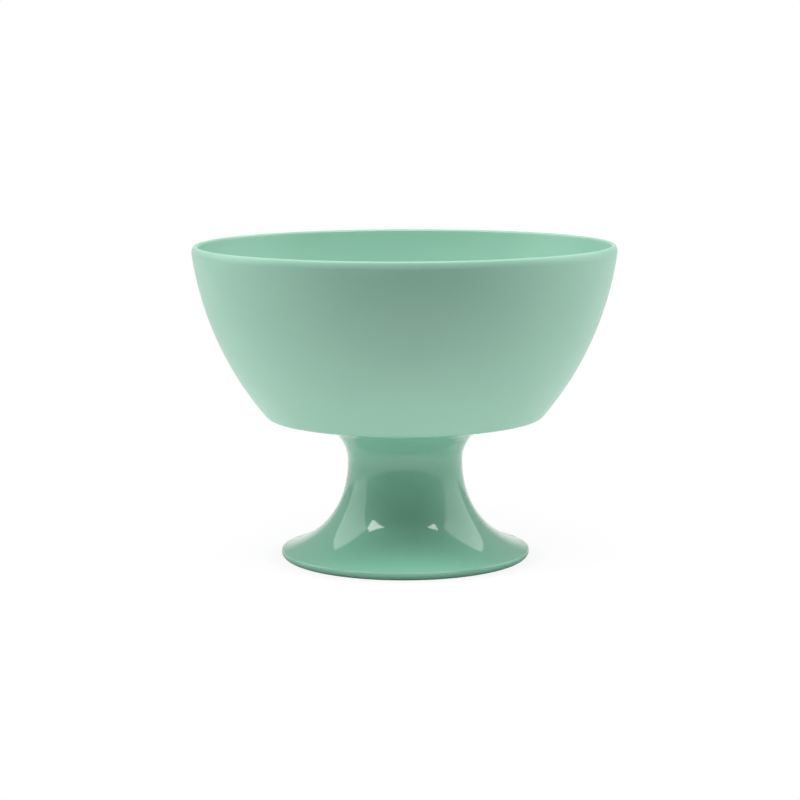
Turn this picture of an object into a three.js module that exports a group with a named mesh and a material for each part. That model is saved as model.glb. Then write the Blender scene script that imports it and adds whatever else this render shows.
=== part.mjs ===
// Footed dessert cup: a satin bowl whose spigot plugs into the neck of a glossy trumpet-shaped foot.
// Millimetres, +Z up, origin on the axis in the plane that the foot stands on.

import * as THREE from 'three';

// Bowl
const RIM_RADIUS = 60;
// Level of the rim's widest place above the seat: the lip's crest stands about 2 mm higher
const WIDEST_HEIGHT = 47.24;
const SHOULDER_RADIUS = 3.6;
const LIP_RADIUS = 0.72;
const BOWL_WALL = 1.9;
const FLOOR_THICKNESS = 2.2;
const UNDERSIDE_RADIUS = 37.8;
const KNEE_RADIUS = 2.6;
const INNER_KNEE_RADIUS = 7;
const RIM_LEAN_DEG = 7.8;

// Foot
const NECK_RADIUS = 16.4;
const NECK_HEIGHT = 27.8;
const FLARE_RADIUS = 10.3;
const FLANGE_THICKNESS = 2.2;
const FLANGE_EDGE_RADIUS = 0.6;
const FOOT_WALL = 2.2;
const BASE_RADIUS = 35.5;
const BASE_EDGE = 2.35;
const BASE_SLOPE_DEG = 15.6;
const BASE_TOP_ROUND = 0.5;
const BASE_UNDER_ROUND = 1.6;
const STANDING_RING_WIDTH = 2.2;
// How far the trumpet keeps the neck's direction, and how far back from the edge it keeps the base's slope
const NECK_PULL = 13.3;
const BASE_PULL = 11.7;

// Plug joint between the two
const SPIGOT_LENGTH = 11.5;
const SPIGOT_WALL = 2;
const SPIGOT_CHAMFER = 0.7;
const SPIGOT_CLEARANCE = 0.3;

// Moulding gate under the bowl's floor, inside the spigot
const GATE_DIMPLE_RADIUS = 3;
const GATE_DIMPLE_DEPTH = 0.5;

// Facets
const AROUND = 60;
const WALL_STEPS = 12;
const ROUND_STEPS = 4;
const LIP_STEPS = 8;
const FLARE_STEPS = 8;
const TRUMPET_STEPS = 14;

// Levels and radii that both pieces share
const SEAT_LEVEL = NECK_HEIGHT + FLARE_RADIUS + FLANGE_THICKNESS;
const FLARE_CENTRE_RADIUS = NECK_RADIUS + FLARE_RADIUS;
const BORE_RADIUS = NECK_RADIUS - FOOT_WALL;
const SPIGOT_RADIUS = BORE_RADIUS - SPIGOT_CLEARANCE;

const point = (radius, level) => new THREE.Vector2(radius, level);
const direction = (angle) => new THREE.Vector2(Math.cos(angle), Math.sin(angle));
const bearing = (from, to) => Math.atan2(to.y - from.y, to.x - from.x);

// Points along a circular arc in the profile plane, turning the short way from one angle to the other.
function arc(centre, radius, from, to, steps) {
  const curve = new THREE.EllipseCurve(centre.x, centre.y, radius, radius, from, to, to < from);
  return curve.getPoints(steps);
}

// A clockwise profile turned about the vertical axis: reversed, its faces point out of the material.
function turned(profile, name, material) {
  const geometry = new THREE.LatheGeometry(profile.reverse(), AROUND);
  geometry.rotateX(Math.PI / 2);
  const mesh = new THREE.Mesh(geometry, material);
  mesh.name = name;
  return mesh;
}

// The wall is one arc, tangent to the shoulder at the rim's lean and to the knee's fillet.
function bowlProfile() {
  const lean = THREE.MathUtils.degToRad(RIM_LEAN_DEG);
  const outward = direction(-lean);
  const shoulder = point(RIM_RADIUS - SHOULDER_RADIUS, SEAT_LEVEL + WIDEST_HEIGHT);
  const knee = point(UNDERSIDE_RADIUS, SEAT_LEVEL + KNEE_RADIUS);

  const wallTop = shoulder.clone().addScaledVector(outward, SHOULDER_RADIUS);
  const toKnee = knee.clone().sub(wallTop);
  const wallRadius = (KNEE_RADIUS ** 2 - toKnee.lengthSq()) / (2 * (outward.dot(toKnee) + KNEE_RADIUS));
  const centre = wallTop.clone().addScaledVector(outward, -wallRadius);
  const kneeAngle = bearing(centre, knee);
  const innerRadius = wallRadius - BOWL_WALL;

  // The lip's crest is tangent to the shoulder and to the wall's inner face.
  const lipRadius = Math.min(LIP_RADIUS, BOWL_WALL / 2);
  const toShoulder = wallRadius - SHOULDER_RADIUS;
  const shoulderToLip = SHOULDER_RADIUS - lipRadius;
  const toLip = innerRadius + lipRadius;
  const bend = (toLip ** 2 - toShoulder ** 2 - shoulderToLip ** 2) / (2 * toShoulder * shoulderToLip);
  const lipAngle = Math.acos(Math.min(1, bend)) - lean;
  const lip = shoulder.clone().addScaledVector(direction(lipAngle), shoulderToLip);
  const innerLipAngle = bearing(centre, lip);

  const floorLevel = SEAT_LEVEL + FLOOR_THICKNESS;
  const innerKneeDrop = floorLevel + INNER_KNEE_RADIUS - centre.y;
  const innerKneeReach = Math.sqrt((innerRadius - INNER_KNEE_RADIUS) ** 2 - innerKneeDrop ** 2);
  const innerKnee = point(centre.x + innerKneeReach, floorLevel + INNER_KNEE_RADIUS);
  const innerKneeAngle = bearing(centre, innerKnee);

  const spigotEnd = SEAT_LEVEL - SPIGOT_LENGTH;
  const spigotBore = SPIGOT_RADIUS - SPIGOT_WALL;
  const chamfer = Math.min(SPIGOT_CHAMFER, SPIGOT_WALL / 2);
  const dimpleLevel = SEAT_LEVEL + GATE_DIMPLE_DEPTH;
  return [
    point(0, floorLevel),
    ...arc(innerKnee, INNER_KNEE_RADIUS, -Math.PI / 2, innerKneeAngle, ROUND_STEPS),
    ...arc(centre, innerRadius, innerKneeAngle, innerLipAngle, WALL_STEPS).slice(1),
    ...arc(lip, lipRadius, Math.PI + innerLipAngle, lipAngle, LIP_STEPS).slice(1),
    ...arc(shoulder, SHOULDER_RADIUS, lipAngle, -lean, ROUND_STEPS).slice(1),
    ...arc(centre, wallRadius, -lean, kneeAngle, WALL_STEPS).slice(1),
    ...arc(knee, KNEE_RADIUS, kneeAngle, -Math.PI / 2, ROUND_STEPS).slice(1),
    point(SPIGOT_RADIUS, SEAT_LEVEL),
    point(SPIGOT_RADIUS, spigotEnd + chamfer),
    point(SPIGOT_RADIUS - chamfer, spigotEnd),
    point(spigotBore, spigotEnd),
    point(spigotBore, SEAT_LEVEL),
    point(GATE_DIMPLE_RADIUS, SEAT_LEVEL),
    point(GATE_DIMPLE_RADIUS - GATE_DIMPLE_DEPTH, dimpleLevel),
    point(0, dimpleLevel),
  ];
}

// The outer face runs from the flange through the neck to the base's edge.
// The inner face keeps an even wall.
function footProfile() {
  const slope = THREE.MathUtils.degToRad(BASE_SLOPE_DEG);
  const flareCentre = point(FLARE_CENTRE_RADIUS, NECK_HEIGHT);
  const flangeEdge = Math.min(FLANGE_EDGE_RADIUS, FLANGE_THICKNESS);
  const flangeRound = point(FLARE_CENTRE_RADIUS, NECK_HEIGHT + FLARE_RADIUS + flangeEdge);
  const flangeRadius = FLARE_CENTRE_RADIUS + flangeEdge;

  const topRound = Math.min(BASE_TOP_ROUND, BASE_EDGE / 3);
  const underRound = Math.min(BASE_UNDER_ROUND, BASE_EDGE - topRound);
  const edgeRound = point(BASE_RADIUS - topRound, BASE_EDGE - topRound);
  const standRound = point(BASE_RADIUS - underRound, underRound);
  const standInner = standRound.x - STANDING_RING_WIDTH;

  const neck = point(NECK_RADIUS, NECK_HEIGHT);
  const edge = edgeRound.clone().addScaledVector(direction(Math.PI / 2 - slope), topRound);
  const neckHandle = neck.clone().sub(point(0, NECK_PULL));
  const edgeHandle = edge.clone().addScaledVector(direction(Math.PI - slope), BASE_PULL);
  const trumpet = new THREE.CubicBezierCurve(neck, neckHandle, edgeHandle, edge);
  const hollow = insideOf(trumpet).filter((p) => p.x < standInner).reverse();

  // The mouth that leads the spigot in is a 45 degree cone.
  // Where it comes closest, it lies a wall's thickness inside the flare.
  const coneRise = (FLARE_RADIUS + FOOT_WALL) * Math.SQRT2 + NECK_HEIGHT - FLARE_CENTRE_RADIUS;
  return [
    point(flangeRadius, SEAT_LEVEL),
    ...arc(flangeRound, flangeEdge, 0, -Math.PI / 2, ROUND_STEPS),
    ...arc(flareCentre, FLARE_RADIUS, Math.PI / 2, Math.PI, FLARE_STEPS).slice(1),
    ...trumpet.getPoints(TRUMPET_STEPS).slice(1),
    ...arc(edgeRound, topRound, Math.PI / 2 - slope, 0, ROUND_STEPS).slice(1),
    ...arc(standRound, underRound, 0, -Math.PI / 2, ROUND_STEPS),
    point(standInner, 0),
    ...hollow,
    point(BORE_RADIUS, BORE_RADIUS + coneRise),
    point(SEAT_LEVEL - coneRise, SEAT_LEVEL),
    point(flangeRadius, SEAT_LEVEL),
  ];
}

// Points a wall's thickness to the inner side of a curve that runs down and outwards.
function insideOf(curve) {
  const steps = Array.from({ length: TRUMPET_STEPS + 1 }, (_, i) => i / TRUMPET_STEPS);
  return steps.map((t) => {
    const along = curve.getTangent(t);
    return curve.getPoint(t).add(point(along.y, -along.x).multiplyScalar(FOOT_WALL));
  });
}

const satinMint = new THREE.MeshStandardMaterial({ color: 0x94c2ad, roughness: 0.45, metalness: 0 });
const glossMint = new THREE.MeshStandardMaterial({ color: 0x80b69f, roughness: 0.12, metalness: 0 });

const dessertCup = new THREE.Group();
dessertCup.name = 'dessert_cup';
dessertCup.add(turned(bowlProfile(), 'bowl', satinMint));
dessertCup.add(turned(footProfile(), 'foot', glossMint));

export default dessertCup;
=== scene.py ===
"""Footed dessert cup: a satin bowl plugged into a glossy trumpet foot, turned from their profiles."""

import math

import bpy
from bpy.props import FloatProperty, FloatVectorProperty, IntProperty, PointerProperty
from bpy.types import Operator, Panel, PropertyGroup
from mathutils import Matrix, Vector


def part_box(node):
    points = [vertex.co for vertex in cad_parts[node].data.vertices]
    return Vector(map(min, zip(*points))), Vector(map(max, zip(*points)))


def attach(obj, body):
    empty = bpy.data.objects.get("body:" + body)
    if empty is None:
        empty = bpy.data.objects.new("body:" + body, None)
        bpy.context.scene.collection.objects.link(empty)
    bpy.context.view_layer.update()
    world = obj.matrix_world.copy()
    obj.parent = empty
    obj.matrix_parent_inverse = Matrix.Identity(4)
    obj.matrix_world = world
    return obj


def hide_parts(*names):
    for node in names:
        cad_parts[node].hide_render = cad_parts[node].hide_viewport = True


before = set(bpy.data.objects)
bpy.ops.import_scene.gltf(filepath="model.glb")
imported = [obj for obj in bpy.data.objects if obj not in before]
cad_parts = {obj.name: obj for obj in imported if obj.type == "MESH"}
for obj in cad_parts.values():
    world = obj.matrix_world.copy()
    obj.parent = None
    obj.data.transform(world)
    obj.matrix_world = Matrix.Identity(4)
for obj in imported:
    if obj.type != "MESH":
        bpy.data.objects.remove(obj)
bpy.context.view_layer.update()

bl_info = {
    "name": "Footed Dessert Cup",
    "version": (1, 0, 0),
    "blender": (4, 5, 0),
    "location": "View3D > Sidebar > Dessert Cup",
    "description": "Turns a dessert cup's bowl and foot in mint plastic and sets them in a studio",
    "category": "Add Mesh",
}

BOWL_LOW, BOWL_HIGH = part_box("bowl")
FOOT_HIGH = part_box("foot")[1]
MM = 0.001
WHITE = (1.0, 1.0, 1.0, 1.0)

# How finely the profiles are divided, and how near two points become one
ARC_TURN = math.radians(5.0)
ARC_LENGTH = 1.0 * MM
LINE_LENGTH = 3.0 * MM
TRUMPET_STEPS = 64
WELD = 0.001 * MM

# The room changes with the direction: each pair is where a change starts and where it is full.
# The sides and the walls go by how far it points away from the camera, the top by how far it points up.
BACKDROP_SIDES = (0.82, 0.98)
BACKDROP_TOP = (0.08, 0.3)
WALLS_EDGE = (-0.85, -0.1)

# The table: its edges in metres, the grey of the painted contact shadow under the foot, and its own grey
# around it
TABLE_FRONT, TABLE_BACK, TABLE_SIDE = -0.19, 1.2, 0.66
PAINTED_SHADOW_GREY, TABLE_GREY = 0.42, 0.92
# Distances from the axis between which the painted contact shadow gives way to its own grey, and between
# which it fades to white
PAINTED_SHADOW_EDGE = (35.0 * MM, 42.0 * MM)
FADE_EDGE = (40.0 * MM, 200.0 * MM)
# How much of the table's shading the camera sees
SHADOW_SHARE = 0.1

# The tall softboxes, as seen from the cup: degrees from their nearest place to their front edge,
# and to the lower and upper end of their back edge
PANEL_FRONT = -24.0
PANEL_BACKS = {"left_panel": (12.0, 38.0), "right_panel": (20.0, 45.0)}


# Settings

def length(name, description, default):
    """A size in metres that the sidebar shows in the scene's units."""
    return FloatProperty(name=name, description=description, default=default, min=0.0,
                         precision=5, subtype="DISTANCE", unit="LENGTH")


def angle(name, description, degrees):
    """An angle that the sidebar shows in degrees."""
    return FloatProperty(name=name, description=description, default=math.radians(degrees),
                         subtype="ANGLE", unit="ROTATION")


def share(name, description, default):
    """A plain number from 0 to 1."""
    return FloatProperty(name=name, description=description, default=default,
                         min=0.0, max=1.0, subtype="FACTOR")


def colour(name, description, default):
    """A linear colour."""
    return FloatVectorProperty(name=name, description=description, default=default, size=3,
                               min=0.0, max=1.0, subtype="COLOR")


def level(name, description, default):
    """How bright a light source looks, where 1 is white."""
    return FloatProperty(name=name, description=description, default=default, min=0.0)


class DessertCupBowl(PropertyGroup):
    """Sizes of the bowl and of the spigot under it."""
    rim_radius: length("Rim radius", "Outside of the rim where it is widest", BOWL_HIGH.x)
    widest_level: length("Widest level", "Widest place of the rim above the table", 87.54 * MM)
    shoulder: length("Shoulder", "Rounding of the rim from the wall up to the lip's crest", 3.6 * MM)
    crest: length("Crest", "Rounding of the lip's crest", 0.72 * MM)
    wall: length("Wall", "Thickness of the wall", 1.9 * MM)
    floor: length("Floor", "Thickness of the floor", 2.2 * MM)
    underside_radius: length("Underside radius", "Where the flat underside turns into the knee", 37.8 * MM)
    knee: length("Knee", "Fillet between the underside and the wall", 2.6 * MM)
    inner_knee: length("Inner knee", "Fillet between the floor and the wall inside", 7.0 * MM)
    rim_lean: angle("Rim lean", "How far the wall leans out just under the shoulder", 7.8)
    spigot_level: length("Spigot level", "Tip of the spigot above the table", BOWL_LOW.z)
    spigot_radius: length("Spigot radius", "Outside of the spigot", 13.9 * MM)
    spigot_wall: length("Spigot wall", "Thickness of the spigot", 2.0 * MM)
    spigot_chamfer: length("Spigot chamfer", "Lead-in at the spigot's tip", 0.7 * MM)
    gate_radius: length("Gate radius", "Dimple that the moulding gate leaves under the floor", 3.0 * MM)
    gate_depth: length("Gate depth", "Depth of that dimple", 0.5 * MM)


class DessertCupFoot(PropertyGroup):
    """Sizes of the foot."""
    seat_level: length("Seat level", "Flange that carries the bowl, above the table", FOOT_HIGH.z)
    base_radius: length("Base radius", "Outside of the base", FOOT_HIGH.x)
    neck_radius: length("Neck radius", "Outside of the neck where it is narrowest", 16.4 * MM)
    neck_level: length("Neck level", "Narrowest place above the table", 27.8 * MM)
    flare: length("Flare", "Arc from the neck out to the flange", 10.3 * MM)
    flange_edge: length("Flange edge", "Rounding of the flange's lower edge", 0.6 * MM)
    wall: length("Wall", "Thickness of the shell", 2.2 * MM)
    base_edge: length("Base edge", "Height of the base's edge", 2.35 * MM)
    base_slope: angle("Base slope", "How steeply the base's top falls to its edge", 15.6)
    top_round: length("Top rounding", "Rounding of the base's upper edge", 0.5 * MM)
    under_round: length("Lower rounding", "Rounding of the base's lower edge", 1.6 * MM)
    standing_width: length("Standing ring", "Width of the flat ring that the cup stands on", 2.2 * MM)
    neck_pull: length("Neck pull", "How far the trumpet keeps the neck's direction", 13.3 * MM)
    base_pull: length("Base pull", "How far the trumpet keeps the base's slope", 11.7 * MM)


class DessertCupFinish(PropertyGroup):
    """Colour and surface of the plastic."""
    bowl_mint: colour("Bowl colour", "Colour of the bowl's plastic", (0.295, 0.54, 0.42))
    foot_mint: colour("Foot colour", "Colour of the foot's plastic", (0.215, 0.47, 0.345))
    mint_shift: share("Mint variation", "How far the pigment's clouds leave that colour", 0.05)
    satin: share("Satin roughness", "Roughness of the bowl", 0.38)
    gloss: share("Gloss roughness", "Roughness of the foot", 0.06)
    segments: IntProperty(name="Segments", description="Faces around the axis", default=192,
                          min=24, max=512)
    crease: angle("Crease angle", "Edges sharper than this stay sharp", 35.0)


class DessertCupStage(PropertyGroup):
    """Light, table and camera."""
    strip: level("Overhead strip", "Brightness of the strip softbox above the cup", 8.6)
    left_panel: level("Left panel", "Brightness of the tall softbox on the left", 2.58)
    right_panel: level("Right panel", "Brightness of the tall softbox on the right", 2.41)
    panel_fade: share("Panel fade", "How far the tall softboxes dim towards the table", 0.4)
    walls: level("Walls", "Brightness of the room beside and behind the cup", 0.43)
    strip_width: length("Strip width", "Width of the strip softbox", 1.75)
    strip_depth: length("Strip depth", "Depth of the strip softbox", 0.36)
    strip_level: length("Strip level", "Middle of the strip softbox above the table", 1.05)
    strip_ahead: length("Strip ahead", "Middle of the strip softbox before the cup's axis", 0.336)
    strip_left: length("Strip left", "Middle of the strip softbox left of the cup's axis", 0.119)
    strip_tilt: angle("Strip tilt", "How far the strip softbox leans to face the backdrop", 34.0)
    strip_turn: angle("Strip turn", "How far the strip softbox is turned from the picture's plane", 1.3)
    panel_distance: length("Panel distance", "Tall softboxes from the cup's axis", 0.9)
    panel_height: length("Panel height", "Height of the tall softboxes", 1.12)
    panel_facing: angle("Panel facing", "Tall softboxes around the cup, from the camera's side", 103.0)
    camera_distance: length("Camera distance", "Camera from the cup's axis, along the table", 652.7 * MM)
    camera_level: length("Camera level", "Camera above the table", 139.8 * MM)
    camera_pan: angle("Camera pan", "How far the camera looks to the left", 0.1226)
    camera_tilt: angle("Camera tilt", "How far the camera looks down", 8.27)
    camera_roll: angle("Camera roll", "How far the camera leans to the left", -0.204)
    lens: FloatProperty(name="Lens", description="Focal length", default=104.0, min=10.0, unit="CAMERA")


class DessertCupSettings(PropertyGroup):
    """All the settings of the cup and its stage."""
    bowl: PointerProperty(type=DessertCupBowl, name="Bowl", description="Sizes of the bowl")
    foot: PointerProperty(type=DessertCupFoot, name="Foot", description="Sizes of the foot")
    finish: PointerProperty(type=DessertCupFinish, name="Finish", description="Colour and surface")
    stage: PointerProperty(type=DessertCupStage, name="Stage", description="Light, table and camera")


# Profiles in the plane of radius and level

def polar(centre, radius, turn):
    """The point at an angle on a circle of the profile plane."""
    return centre + radius * Vector((math.cos(turn), math.sin(turn)))


def bearing(start, end):
    """The angle at which one point of the profile plane lies from another."""
    return math.atan2(end.y - start.y, end.x - start.x)


def arc(centre, radius, start, end):
    """Points along an arc, without its first one."""
    turn = end - start
    steps = math.ceil(abs(turn) * max(radius / ARC_LENGTH, 1.0 / ARC_TURN))
    return [polar(centre, radius, start + turn * i / steps) for i in range(1, steps + 1)]


def line(start, end):
    """Points along a straight stretch, without its first one."""
    steps = math.ceil((end - start).length / LINE_LENGTH)
    return [start.lerp(end, i / steps) for i in range(1, steps + 1)]


def bezier(points, t):
    """A point on a cubic curve, and its direction there."""
    a, b, c, d = points
    s = 1.0 - t
    place = s ** 3 * a + 3 * s * s * t * b + 3 * s * t * t * c + t ** 3 * d
    along = s * s * (b - a) + 2 * s * t * (c - b) + t * t * (d - c)
    return place, along.normalized()


def bowl_profile(size, seat_level):
    """Outline of the bowl, from the middle of its floor over the lip to the middle of its underside."""
    shoulder = Vector((size.rim_radius - size.shoulder, size.widest_level))
    knee = Vector((size.underside_radius, seat_level + size.knee))
    outward = Vector((math.cos(size.rim_lean), -math.sin(size.rim_lean)))
    wall_top = shoulder + size.shoulder * outward

    # The wall's arc leaves the shoulder at the rim's lean and runs tangent into the knee.
    to_knee = knee - wall_top
    wall_radius = (size.knee ** 2 - to_knee.length_squared) / (2 * (outward.dot(to_knee) + size.knee))
    centre = wall_top - wall_radius * outward
    inner_radius = wall_radius - size.wall
    knee_turn = bearing(centre, knee)

    # The crest's arc is tangent to the shoulder and to the wall's inner face.
    near, step, far = wall_radius - size.shoulder, size.shoulder - size.crest, inner_radius + size.crest
    crest_turn = math.acos((far * far - near * near - step * step) / (2 * near * step)) - size.rim_lean
    crest = polar(shoulder, step, crest_turn)
    lip_turn = bearing(centre, crest)

    floor_level = seat_level + size.floor
    drop = floor_level + size.inner_knee - centre.y
    reach = math.sqrt((inner_radius - size.inner_knee) ** 2 - drop ** 2)
    inner_knee = centre + Vector((reach, drop))
    inner_turn = bearing(centre, inner_knee)

    spigot_inner = size.spigot_radius - size.spigot_wall
    gate_level = seat_level + size.gate_depth
    down = -math.pi / 2
    outline = [Vector((0.0, floor_level))]
    outline += line(outline[-1], polar(inner_knee, size.inner_knee, down))
    outline += arc(inner_knee, size.inner_knee, down, inner_turn)
    outline += arc(centre, inner_radius, inner_turn, lip_turn)
    outline += arc(crest, size.crest, math.pi + lip_turn, crest_turn)
    outline += arc(shoulder, size.shoulder, crest_turn, -size.rim_lean)
    outline += arc(centre, wall_radius, -size.rim_lean, knee_turn)
    outline += arc(knee, size.knee, knee_turn, down)
    for radius, height in (
        (size.spigot_radius, seat_level),
        (size.spigot_radius, size.spigot_level + size.spigot_chamfer),
        (size.spigot_radius - size.spigot_chamfer, size.spigot_level),
        (spigot_inner, size.spigot_level),
        (spigot_inner, seat_level),
        (size.gate_radius, seat_level),
        (size.gate_radius - size.gate_depth, gate_level),
        (0.0, gate_level),
    ):
        outline += line(outline[-1], Vector((radius, height)))
    return outline


def foot_profile(size):
    """Closed outline of the foot's shell: down its outside, under its standing ring and up its hollow."""
    flare_centre = Vector((size.neck_radius + size.flare, size.neck_level))
    flange_round = flare_centre + Vector((0.0, size.flare + size.flange_edge))
    flange_top = Vector((flange_round.x + size.flange_edge, size.seat_level))

    edge_round = Vector((size.base_radius - size.top_round, size.base_edge - size.top_round))
    stand_round = Vector((size.base_radius - size.under_round, size.under_round))
    stand_inner = Vector((stand_round.x - size.standing_width, 0.0))

    neck = Vector((size.neck_radius, size.neck_level))
    edge_turn = math.pi / 2 - size.base_slope
    edge = polar(edge_round, size.top_round, edge_turn)
    neck_handle = neck - Vector((0.0, size.neck_pull))
    edge_handle = polar(edge, size.base_pull, math.pi - size.base_slope)
    curve = (neck, neck_handle, edge_handle, edge)
    trumpet = [bezier(curve, i / TRUMPET_STEPS) for i in range(TRUMPET_STEPS + 1)]
    hollow = [place + size.wall * Vector((along.y, -along.x)) for place, along in trumpet]

    # The mouth that leads the spigot in is a 45 degree cone.
    # Where it comes closest, it lies a wall's thickness inside the flare.
    bore = size.neck_radius - size.wall
    cone_rise = (size.flare + size.wall) * math.sqrt(2.0) + flare_centre.y - flare_centre.x
    down = -math.pi / 2
    outline = [flange_top]
    outline += line(flange_top, polar(flange_round, size.flange_edge, 0.0))
    outline += arc(flange_round, size.flange_edge, 0.0, down)
    outline += arc(flare_centre, size.flare, math.pi / 2, math.pi)
    outline += [place for place, along in trumpet[1:]]
    outline += arc(edge_round, size.top_round, edge_turn, 0.0)
    outline += line(outline[-1], polar(stand_round, size.under_round, 0.0))
    outline += arc(stand_round, size.under_round, 0.0, down)
    outline += line(outline[-1], stand_inner)
    outline += [place for place in reversed(hollow) if place.x < stand_inner.x]
    outline += line(outline[-1], Vector((bore, bore + cone_rise)))
    outline += line(outline[-1], Vector((size.seat_level - cone_rise, size.seat_level)))
    outline += line(outline[-1], flange_top)
    return outline


# Node trees

class Wire:
    """A node's output that can stand in a Python expression: each operator adds one Math node."""

    def __init__(self, kit, socket):
        self.kit = kit
        self.socket = socket

    def _math(self, operation, *values):
        return self.kit.add("ShaderNodeMath", {"operation": operation}, dict(enumerate(values)))

    def __add__(self, other):
        return self._math("ADD", self, other)

    def __sub__(self, other):
        return self._math("SUBTRACT", self, other)

    def __rsub__(self, other):
        return self._math("SUBTRACT", other, self)

    def __mul__(self, other):
        return self._math("MULTIPLY", self, other)

    def __truediv__(self, other):
        return self._math("DIVIDE", self, other)

    def __mod__(self, other):
        return self._math("FLOORED_MODULO", self, other)

    def __gt__(self, other):
        return self._math("GREATER_THAN", self, other)

    def floor(self):
        return self._math("FLOOR", self)

    __radd__ = __add__
    __rmul__ = __mul__


class NodeKit:
    """Adds nodes to one tree."""

    def __init__(self, tree):
        self.tree = tree

    def add(self, kind, settings=None, inputs=None, output=0):
        """Adds a node, sets it up, feeds its sockets and returns one of its outputs."""
        node = self.tree.nodes.new(kind)
        for name, value in (settings or {}).items():
            setattr(node, name, value)
        for name, value in (inputs or {}).items():
            if isinstance(value, Wire):
                self.tree.links.new(value.socket, node.inputs[name])
            else:
                node.inputs[name].default_value = value
        return Wire(self, node.outputs[output]) if node.outputs else node

    def smooth_step(self, value, low, high):
        """0 below low, 1 above high, and an easy rise between them."""
        return self.add("ShaderNodeMapRange", {"interpolation_type": "SMOOTHSTEP"},
                        {"Value": value, "From Min": low, "From Max": high})


def new_material(name):
    material = bpy.data.materials.new(name)
    material.use_nodes = True
    material.node_tree.nodes.clear()
    return material, NodeKit(material.node_tree)


# Plastic

def mint_pigment(kit, mint, shift, place):
    """The plastic's colour, with the faint clouds that pigment leaves in a moulding."""
    clouds = kit.add("ShaderNodeTexNoise", None, {"Vector": place, "Scale": 28.0, "Detail": 3.0})
    deep = [channel * (1.0 - shift) for channel in mint]
    pale = [channel * (1.0 + shift) for channel in mint]
    return kit.add("ShaderNodeMix", {"data_type": "RGBA"},
                   {"Factor": clouds, "A": (*deep, 1.0), "B": (*pale, 1.0)}, "Result")


def satin_plastic(finish):
    """The bowl's finish: an even fine grain from a matted mould, a little smoother here and there."""
    material, kit = new_material("satin_mint_plastic")
    place = kit.add("ShaderNodeTexCoord", output="Object")
    grain = kit.add("ShaderNodeTexNoise", None, {"Vector": place, "Scale": 2600.0, "Detail": 2.0})
    patches = kit.add("ShaderNodeTexNoise", None, {"Vector": place, "Scale": 90.0, "Detail": 4.0})
    bump = kit.add("ShaderNodeBump", None, {"Strength": 0.12, "Distance": 0.02 * MM, "Height": grain})
    patch_depth = 0.08
    shader = kit.add("ShaderNodeBsdfPrincipled", None, {
        "Base Color": mint_pigment(kit, finish.bowl_mint, finish.mint_shift, place),
        "Roughness": finish.satin + (patches - 0.5) * patch_depth,
        "Normal": bump,
    })
    kit.add("ShaderNodeOutputMaterial", None, {"Surface": shader})
    return material


def gloss_plastic(finish):
    """The foot's finish: polished, with a faint orange peel, and dulled where it stands on the table."""
    material, kit = new_material("gloss_mint_plastic")
    place = kit.add("ShaderNodeTexCoord", output="Object")
    height = kit.add("ShaderNodeSeparateXYZ", None, {"Vector": place}, "Z")
    peel = kit.add("ShaderNodeTexNoise", None, {"Vector": place, "Scale": 220.0, "Detail": 1.0})
    scuffs = kit.add("ShaderNodeTexNoise", None, {"Vector": place, "Scale": 700.0, "Detail": 4.0})
    worn_full, worn_none = 0.1 * MM, 0.7 * MM
    worn = 1.0 - kit.smooth_step(height, worn_full, worn_none)
    dulled, scuffed = 0.2, 0.3
    bump = kit.add("ShaderNodeBump", None, {"Strength": 0.05, "Distance": 0.03 * MM, "Height": peel})
    shader = kit.add("ShaderNodeBsdfPrincipled", None, {
        "Base Color": mint_pigment(kit, finish.foot_mint, finish.mint_shift, place),
        "Roughness": finish.gloss + worn * (dulled + scuffed * scuffs),
        "Normal": bump,
    })
    kit.add("ShaderNodeOutputMaterial", None, {"Surface": shader})
    return material


# Turning

def turning_tree():
    """Node group that turns a clockwise profile about the vertical axis, one grid column per segment."""
    tree = bpy.data.node_groups.new("Turned Profile", "GeometryNodeTree")
    for name, kind in (("Profile", "Geometry"), ("Segments", "Int"), ("Weld Distance", "Float"),
                       ("Crease Angle", "Float"), ("Material", "Material")):
        tree.interface.new_socket(name, in_out="INPUT", socket_type="NodeSocket" + kind)
    tree.interface.new_socket("Piece", in_out="OUTPUT", socket_type="NodeSocketGeometry")

    kit = NodeKit(tree)
    entry = kit.add("NodeGroupInput").socket.node
    profile, segments, weld, crease, material = (Wire(kit, socket) for socket in entry.outputs[:5])
    count = kit.add("GeometryNodeAttributeDomainSize", {"component": "MESH"}, {"Geometry": profile})
    grid = kit.add("GeometryNodeMeshGrid", None, {"Vertices X": segments + 1, "Vertices Y": count})
    index = kit.add("GeometryNodeInputIndex")
    sample = kit.add("GeometryNodeSampleIndex", {"data_type": "FLOAT_VECTOR", "domain": "POINT"}, {
        "Geometry": profile,
        "Value": kit.add("GeometryNodeInputPosition"),
        "Index": index % count,
    })
    # A negative turn makes the faces point out of the plastic.
    turn = (index / count).floor() / segments * -math.tau
    place = kit.add("ShaderNodeVectorRotate", {"rotation_type": "Z_AXIS"},
                    {"Vector": sample, "Angle": turn})
    turned = kit.add("GeometryNodeSetPosition", None, {"Geometry": grid, "Position": place})
    welded = kit.add("GeometryNodeMergeByDistance", None, {"Geometry": turned, "Distance": weld})
    smooth = kit.add("GeometryNodeSetShadeSmooth", {"domain": "FACE"},
                     {"Geometry": welded, "Shade Smooth": True})
    bend = kit.add("GeometryNodeInputMeshEdgeAngle", output="Unsigned Angle")
    creased = kit.add("GeometryNodeSetShadeSmooth", {"domain": "EDGE"},
                      {"Geometry": smooth, "Selection": bend > crease, "Shade Smooth": False})
    realized = kit.add("GeometryNodeRealizeInstances", None, {"Geometry": creased})
    finished = kit.add("GeometryNodeSetMaterial", None, {"Geometry": realized, "Material": material})
    kit.add("NodeGroupOutput", None, {"Piece": finished})
    return tree


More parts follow.
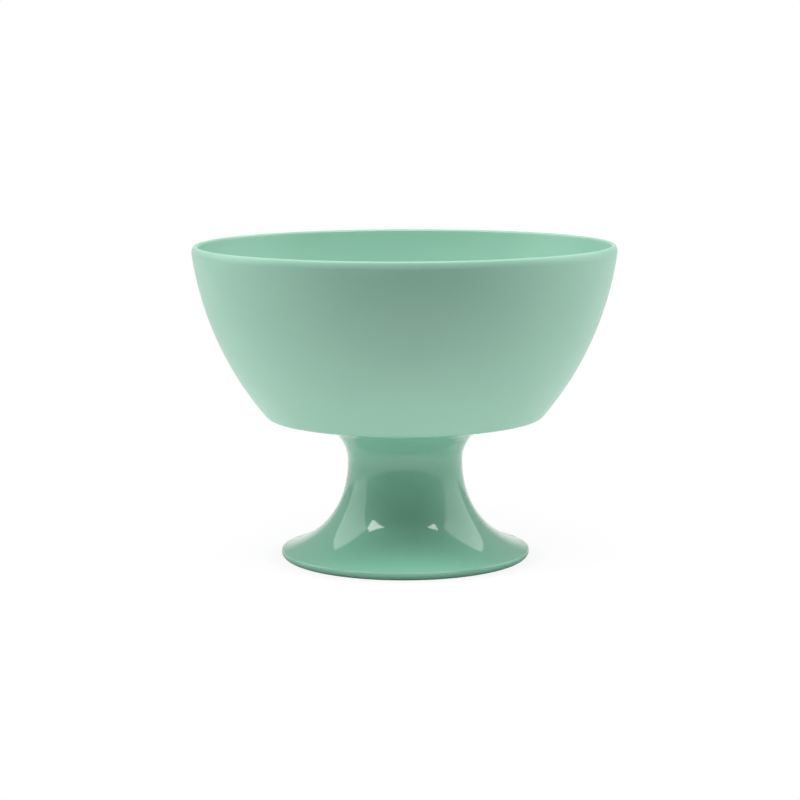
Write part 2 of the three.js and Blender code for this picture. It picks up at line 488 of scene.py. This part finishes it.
def turned_piece(name, outline, finish, material):
    """A plain mesh object turned from an outline."""
    mesh = bpy.data.meshes.new(name)
    points = [(point.x, 0.0, point.y) for point in outline]
    mesh.from_pydata(points, [(i, i + 1) for i in range(len(points) - 1)], [])
    piece = bpy.data.objects.new(name, mesh)
    bpy.context.scene.collection.objects.link(piece)

    tree = bpy.data.node_groups.get("Turned Profile") or turning_tree()
    modifier = piece.modifiers.new("Turned Profile", "NODES")
    modifier.node_group = tree
    values = {"Segments": finish.segments, "Weld Distance": WELD, "Crease Angle": finish.crease,
              "Material": material}
    for item in tree.interface.items_tree:
        if item.in_out == "INPUT" and item.name in values:
            modifier[item.identifier] = values[item.name]

    bpy.context.view_layer.update()
    evaluated = piece.evaluated_get(bpy.context.evaluated_depsgraph_get())
    piece.data = bpy.data.meshes.new_from_object(evaluated)
    piece.data.name = name
    piece.modifiers.clear()
    return piece


def dress(piece, node):
    """Puts a finished piece in the place of its CAD node."""
    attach(piece, "root")
    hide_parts(node)


# Stage

def ray_kinds(kit):
    """1 for rays from the camera, and 1 for those that gloss or glass sends on."""
    camera, gloss, glass = (kit.add("ShaderNodeLightPath", output=name)
                            for name in ("Is Camera Ray", "Is Glossy Ray", "Is Transmission Ray"))
    return camera, gloss + glass


def studio_world(stage):
    """A room, dark before the cup, with a white backdrop behind it; the camera sees plain white."""
    world = bpy.data.worlds.new("studio")
    world.use_nodes = True
    world.node_tree.nodes.clear()
    kit = NodeKit(world.node_tree)
    place = kit.add("ShaderNodeTexCoord", output="Generated")
    ahead, up = (kit.add("ShaderNodeSeparateXYZ", None, {"Vector": place}, axis) for axis in "YZ")
    backdrop = kit.smooth_step(ahead, *BACKDROP_SIDES) * (1.0 - kit.smooth_step(up, *BACKDROP_TOP))
    walls = kit.smooth_step(ahead, *WALLS_EDGE)
    dim = kit.add("ShaderNodeBackground", None, {"Color": WHITE, "Strength": stage.walls * walls})
    white = kit.add("ShaderNodeBackground", None, {"Color": WHITE, "Strength": 1.0})
    camera, mirrored = ray_kinds(kit)
    mixed = kit.add("ShaderNodeMixShader", None, {0: camera + mirrored * backdrop, 1: dim, 2: white})
    kit.add("ShaderNodeOutputWorld", None, {"Surface": mixed})
    bpy.context.scene.world = world


def flat_mesh(name, corners, material):
    """One flat face of the stage."""
    mesh = bpy.data.meshes.new(name)
    mesh.from_pydata(corners, [], [tuple(range(len(corners)))])
    mesh.materials.append(material)
    sheet = bpy.data.objects.new(name, mesh)
    bpy.context.scene.collection.objects.link(sheet)
    return sheet


def table_top():
    """White table, darker under the foot with a painted contact shadow; the camera sees little more of it
    than the cup's shadow.
    """
    material, kit = new_material("white_table")
    place = kit.add("ShaderNodeTexCoord", output="Object")
    distance = kit.add("ShaderNodeVectorMath", {"operation": "LENGTH"}, {0: place}, "Value")
    # Under the foot the table's grey drops to a painted contact shadow, which also darkens the foot's
    # lower edge
    clear = kit.smooth_step(distance, *PAINTED_SHADOW_EDGE)
    grey_with_painted_shadow = PAINTED_SHADOW_GREY + (TABLE_GREY - PAINTED_SHADOW_GREY) * clear
    lit = kit.add("ShaderNodeBsdfDiffuse", None, {"Color": grey_with_painted_shadow})
    white = kit.add("ShaderNodeEmission", None, {"Color": WHITE, "Strength": 1.0})
    fade = kit.smooth_step(distance, *FADE_EDGE)
    camera, mirrored = ray_kinds(kit)
    plain = camera * (1.0 - SHADOW_SHARE + SHADOW_SHARE * fade) + mirrored * fade
    surface = kit.add("ShaderNodeMixShader", None, {0: plain, 1: lit, 2: white})
    kit.add("ShaderNodeOutputMaterial", None, {"Surface": surface})
    corners = [(x, y, 0.0) for x, y in (
        (-TABLE_SIDE, TABLE_FRONT),
        (TABLE_SIDE, TABLE_FRONT),
        (TABLE_SIDE, TABLE_BACK),
        (-TABLE_SIDE, TABLE_BACK),
    )]
    flat_mesh("table", corners, material)


def side_panel(name, stage, side):
    """A tall softbox turned to the cup, brighter at its top, where it also reaches further back."""
    material, kit = new_material(name)
    place = kit.add("ShaderNodeTexCoord", output="Object")
    height = kit.add("ShaderNodeSeparateXYZ", None, {"Vector": place}, "Z")
    rise = kit.smooth_step(height, 0.0, stage.panel_height)
    full = getattr(stage, name)
    low = full * (1.0 - stage.panel_fade)
    glow = kit.add("ShaderNodeEmission", None, {"Color": WHITE, "Strength": low + (full - low) * rise})
    kit.add("ShaderNodeOutputMaterial", None, {"Surface": glow})

    turn = Matrix.Rotation(side * stage.panel_facing, 3, "Z")
    low_back, high_back = PANEL_BACKS[name]
    top = stage.panel_height
    corners = []
    for spread, lift in ((PANEL_FRONT, 0.0), (low_back, 0.0), (high_back, top), (PANEL_FRONT, top)):
        along = stage.panel_distance * math.tan(math.radians(spread))
        corners.append(turn @ Vector((side * along, -stage.panel_distance, lift)))
    flat_mesh(name, corners, material).visible_camera = False


def overhead_strip(stage):
    """A wide strip softbox above the front of the rim, whose two ends show in the foot's gloss."""
    light = bpy.data.lights.new("overhead_strip", "AREA")
    light.shape = "RECTANGLE"
    light.size, light.size_y = stage.strip_width, stage.strip_depth
    light.energy = stage.strip * math.pi * light.size * light.size_y
    lamp = bpy.data.objects.new("overhead_strip", light)
    bpy.context.scene.collection.objects.link(lamp)
    lamp.location = (-stage.strip_left, -stage.strip_ahead, stage.strip_level)
    lamp.rotation_euler = (stage.strip_tilt, 0.0, stage.strip_turn)
    lamp.visible_camera = False


def front_camera(stage):
    """The camera before the cup and a little above its rim, looking down at it."""
    data = bpy.data.cameras.new("camera")
    data.lens = stage.lens
    eye = bpy.data.objects.new("camera", data)
    bpy.context.scene.collection.objects.link(eye)
    place = Matrix.Translation((0.0, -stage.camera_distance, stage.camera_level))
    pan = Matrix.Rotation(stage.camera_pan, 4, "Z")
    tilt = Matrix.Rotation(math.radians(90.0) - stage.camera_tilt, 4, "X")
    roll = Matrix.Rotation(stage.camera_roll, 4, "Z")
    eye.matrix_world = place @ pan @ tilt @ roll
    bpy.context.scene.camera = eye


# Operators and panel

class DESSERTCUP_OT_bowl(Operator):
    """Turn the bowl and finish it in satin plastic"""
    bl_idname = "dessert_cup.bowl"
    bl_label = "Bowl"

    def execute(self, context):
        settings = context.scene.dessert_cup
        outline = bowl_profile(settings.bowl, settings.foot.seat_level)
        piece = turned_piece("cup_bowl", outline, settings.finish, satin_plastic(settings.finish))
        dress(piece, "bowl")
        return {"FINISHED"}


class DESSERTCUP_OT_foot(Operator):
    """Turn the foot and finish it in glossy plastic"""
    bl_idname = "dessert_cup.foot"
    bl_label = "Foot"

    def execute(self, context):
        settings = context.scene.dessert_cup
        piece = turned_piece("cup_foot", foot_profile(settings.foot), settings.finish,
                             gloss_plastic(settings.finish))
        dress(piece, "foot")
        return {"FINISHED"}


class DESSERTCUP_OT_stage(Operator):
    """Set the table, the light and the camera"""
    bl_idname = "dessert_cup.stage"
    bl_label = "Stage"

    def execute(self, context):
        stage = context.scene.dessert_cup.stage
        studio_world(stage)
        table_top()
        overhead_strip(stage)
        side_panel("left_panel", stage, -1)
        side_panel("right_panel", stage, 1)
        front_camera(stage)
        context.scene.view_settings.view_transform = "Standard"
        return {"FINISHED"}


def list_settings(layout, group):
    """One row of the sidebar for each setting of a group."""
    for name in group.bl_rna.properties.keys():
        if name not in ("rna_type", "name"):
            layout.prop(group, name)


class DESSERTCUP_PT_sidebar(Panel):
    """The cup's operators and settings"""
    bl_idname = "DESSERTCUP_PT_sidebar"
    bl_label = "Dessert Cup"
    bl_space_type = "VIEW_3D"
    bl_region_type = "UI"
    bl_category = "Dessert Cup"

    def draw(self, context):
        settings = context.scene.dessert_cup
        for name in ("bowl", "foot", "stage"):
            box = self.layout.box()
            box.operator("dessert_cup." + name)
            list_settings(box, getattr(settings, name))
        list_settings(self.layout.box(), settings.finish)


CLASSES = (DessertCupBowl, DessertCupFoot, DessertCupFinish, DessertCupStage, DessertCupSettings,
           DESSERTCUP_OT_bowl, DESSERTCUP_OT_foot, DESSERTCUP_OT_stage, DESSERTCUP_PT_sidebar)


def register():
    for cls in CLASSES:
        bpy.utils.register_class(cls)
    bpy.types.Scene.dessert_cup = PointerProperty(type=DessertCupSettings)


def unregister():
    del bpy.types.Scene.dessert_cup
    for cls in reversed(CLASSES):
        bpy.utils.unregister_class(cls)


def main():
    register()
    bpy.ops.dessert_cup.bowl()
    bpy.ops.dessert_cup.foot()
    bpy.ops.dessert_cup.stage()


if __name__ == "__main__":
    main()
